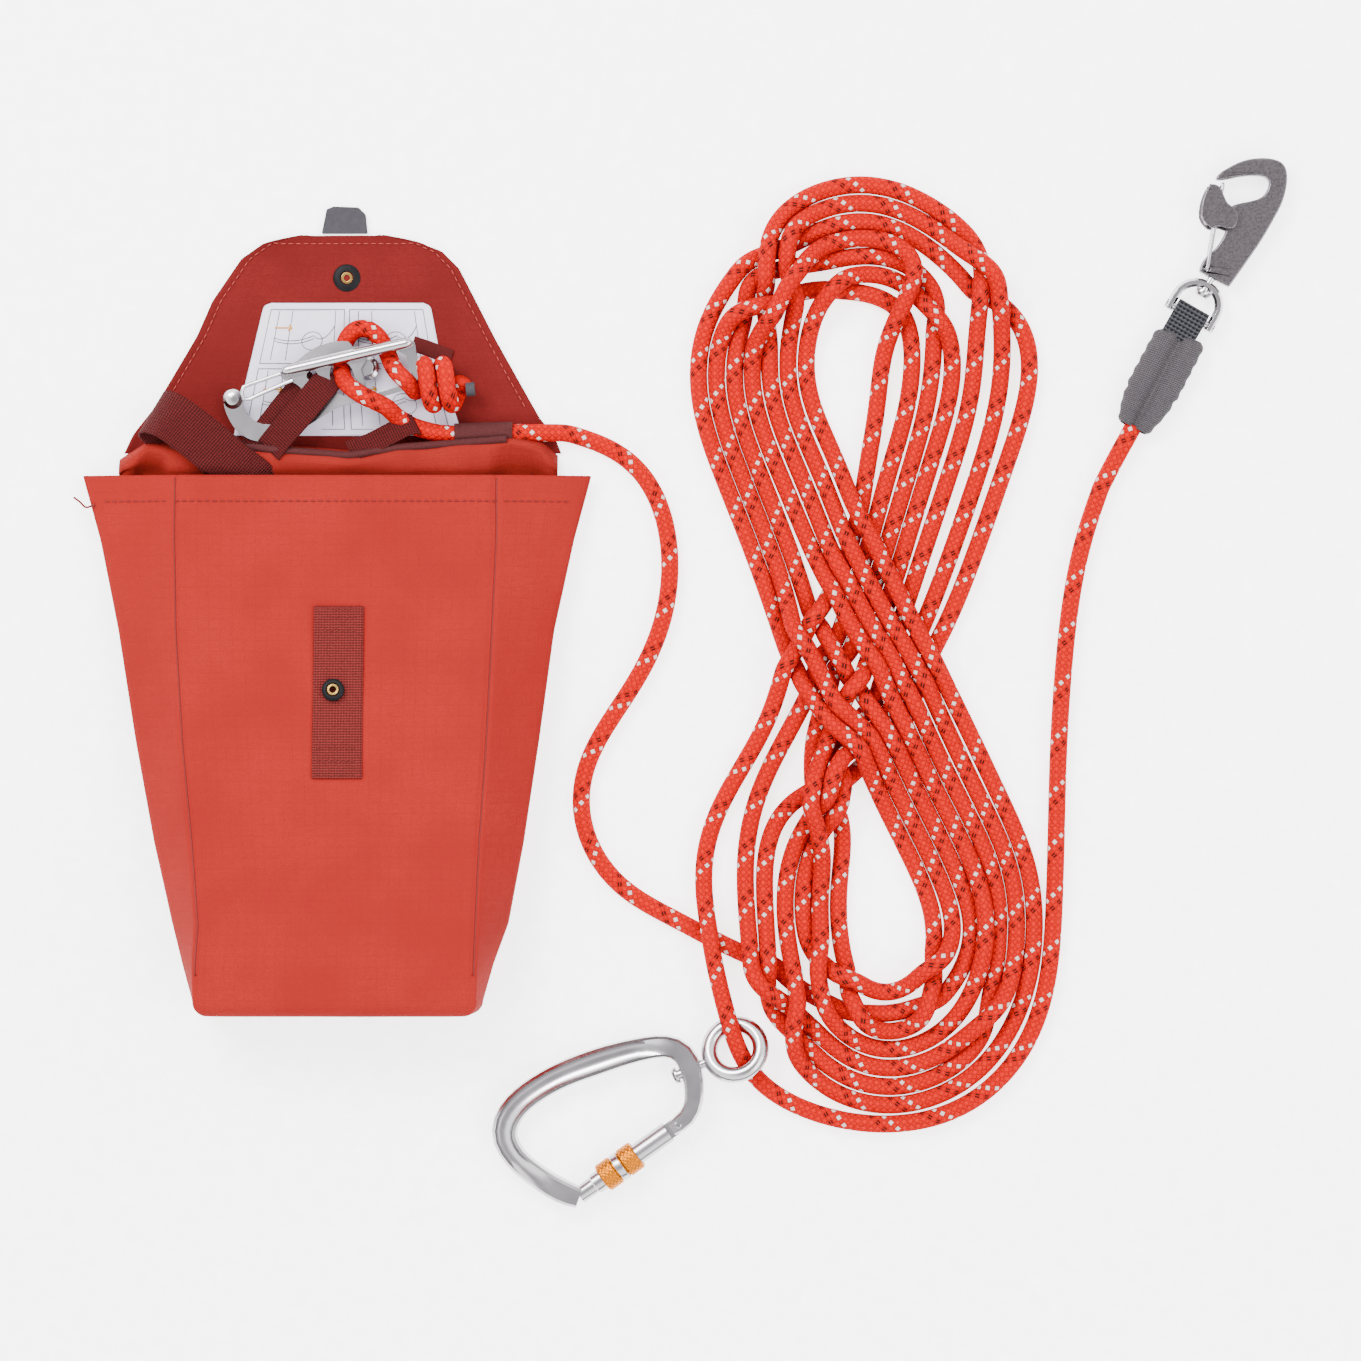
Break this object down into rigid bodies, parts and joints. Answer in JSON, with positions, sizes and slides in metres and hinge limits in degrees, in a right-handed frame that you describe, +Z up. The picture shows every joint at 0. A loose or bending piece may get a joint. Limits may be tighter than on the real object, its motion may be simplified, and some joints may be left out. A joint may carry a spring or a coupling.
{
  "type": "dynamic climbing rope kit",
  "caption": "Dynamic kernmantle rope flaked in a figure of eight, with stuff sack, hooked tensioner and knot, swivel carabiner on an eye, and swivel clip on a sewn sleeve",
  "frame": {"origin": "centre of the kit's footprint as laid out, on the surface that it lies on", "axes": "+Z up from the surface, +Y from the sack's base towards its mouth, +X from the sack towards the clip"},
  "size_m": [0.6241, 0.5439, 0.0605],
  "materials": {
    "rope": "round braided kernmantle sheath, red-orange with white and dark tracer picks",
    "cloth": "plain woven coated sack cloth, brick red",
    "webbing": "ribbed woven webbing, maroon",
    "grey_rubber": "matt moulded rubber, grey",
    "grey_cloth": "woven tubular sleeve, grey",
    "black_webbing": "fine ribbed webbing, near black",
    "black_plastic": "satin moulded plastic, black",
    "paper": "smooth printed card, cool white",
    "brass": "polished brass eyelet",
    "aluminium": "forged and tumbled aluminium, satin",
    "steel": "bright drawn steel",
    "dark_metal": "tumbled dark grey metal with bright edges",
    "gold_anodised": "gold anodised, diamond knurled"
  },
  "bodies": {
    "root": {"sack_body": "cloth", "flap_yoke": "cloth", "mouth_binding": "webbing", "haul_strap": "webbing", "front_webbing_strip": "webbing", "snap_stud": "black_plastic", "snap_stud_eyelet": "brass", "rope_keeper": "webbing", "keeper_anchor_tab": "webbing", "rope_sack_lead": "rope", "rope_flaked_coil": "rope", "rope_clip_lead": "rope", "clip_rope_sleeve": "grey_cloth", "clip_webbing_tab": "black_webbing"},
    "flap": {"sack_flap": "cloth", "flap_pull_tab": "grey_rubber", "instruction_label": "paper", "snap_socket": "black_plastic", "snap_socket_eyelet": "brass"},
    "tensioner": {"tensioner_plate": "aluminium", "tensioner_bollard": "steel", "tensioner_webbing_loop": "webbing", "rope_inner_end": "rope", "stopper_knot": "rope", "rope_end_cap": "grey_rubber", "tensioner_tail_tab": "webbing"},
    "tensioner_gate": {"tensioner_wire_gate": "steel"},
    "ring": {"swivel_ring": "aluminium", "swivel_shank_head": "aluminium"},
    "carabiner": {"carabiner_body": "aluminium", "gate_hinge_pin": "steel"},
    "carabiner_gate": {"carabiner_gate": "aluminium", "gate_plunger": "steel", "gate_spring": "steel"},
    "lock_band": {"lock_sleeve_band": "aluminium"},
    "lock_sleeve": {"lock_sleeve": "gold_anodised"},
    "bail": {"swivel_bail": "steel", "bail_pin": "steel"},
    "clip": {"clip_body": "dark_metal", "swivel_rivet": "steel"},
    "clip_gate": {"clip_gate_wire": "steel", "clip_thumb_tab": "dark_metal"}
  },
  "joints": [
    {"name": "flap_hinge", "type": "hinge", "parent": "root", "child": "flap", "pos_m": [-0.176, 0.133, 0.0015], "axis": [1, 0, 0], "range_deg": [0, 55]},
    {"name": "tensioner_lift", "type": "hinge", "parent": "root", "child": "tensioner", "pos_m": [-0.176, 0.119, 0.006], "axis": [1, 0, 0], "range_deg": [0, 55]},
    {"name": "tensioner_gate_hinge", "type": "hinge", "parent": "tensioner", "child": "tensioner_gate", "pos_m": [-0.20302, 0.15908, 0.01544], "axis": [-0.0669, -0.0198, 0.9976], "range_deg": [0, 18], "stiffness_Nm_per_rad": 0.05},
    {"name": "ring_turn", "type": "hinge", "parent": "root", "child": "ring", "pos_m": [0.02819, -0.1909, 0.01142], "axis": [0, 0, 1], "range_deg": [-8, 8]},
    {"name": "carabiner_swivel", "type": "hinge", "parent": "ring", "child": "carabiner", "pos_m": [0.00551, -0.2012, 0.01044], "axis": [-0.9098, -0.4132, -0.0394], "continuous": true},
    {"name": "carabiner_gate_hinge", "type": "hinge", "parent": "carabiner", "child": "carabiner_gate", "pos_m": [-0.00118, -0.2298, 0.01015], "axis": [0.0433, 0, -0.9991], "range_deg": [0, 25], "stiffness_Nm_per_rad": 0.05},
    {"name": "lock_sleeve_travel", "type": "slide", "parent": "carabiner_gate", "child": "lock_band", "axis": [-0.8094, -0.5861, -0.0351], "range_m": [0, 0.009]},
    {"name": "lock_sleeve_spin", "type": "hinge", "parent": "lock_band", "child": "lock_sleeve", "pos_m": [-0.03137, -0.25166, 0.00884], "axis": [-0.8094, -0.5861, -0.0351], "range_deg": [0, 1080]},
    {"name": "bail_hinge", "type": "hinge", "parent": "root", "child": "bail", "pos_m": [0.2642, 0.1893, 0.007], "axis": [0.866, -0.5, 0], "range_deg": [-75, 75]},
    {"name": "clip_swivel", "type": "hinge", "parent": "bail", "child": "clip", "pos_m": [0.2707, 0.20056, 0.007], "axis": [0.5, 0.866, 0], "continuous": true},
    {"name": "clip_gate_hinge", "type": "hinge", "parent": "clip", "child": "clip_gate", "pos_m": [0.2725, 0.2133, 0.007], "axis": [0, 0, -1], "range_deg": [0, 12], "stiffness_Nm_per_rad": 0.05}
  ],
  "couplings": [
    {"joint": "tensioner_lift", "follows": "flap_hinge", "ratio": 1},
    {"joint": "lock_sleeve_spin", "follows": "lock_sleeve_travel", "rad_per_m": 2094.4}
  ]
}
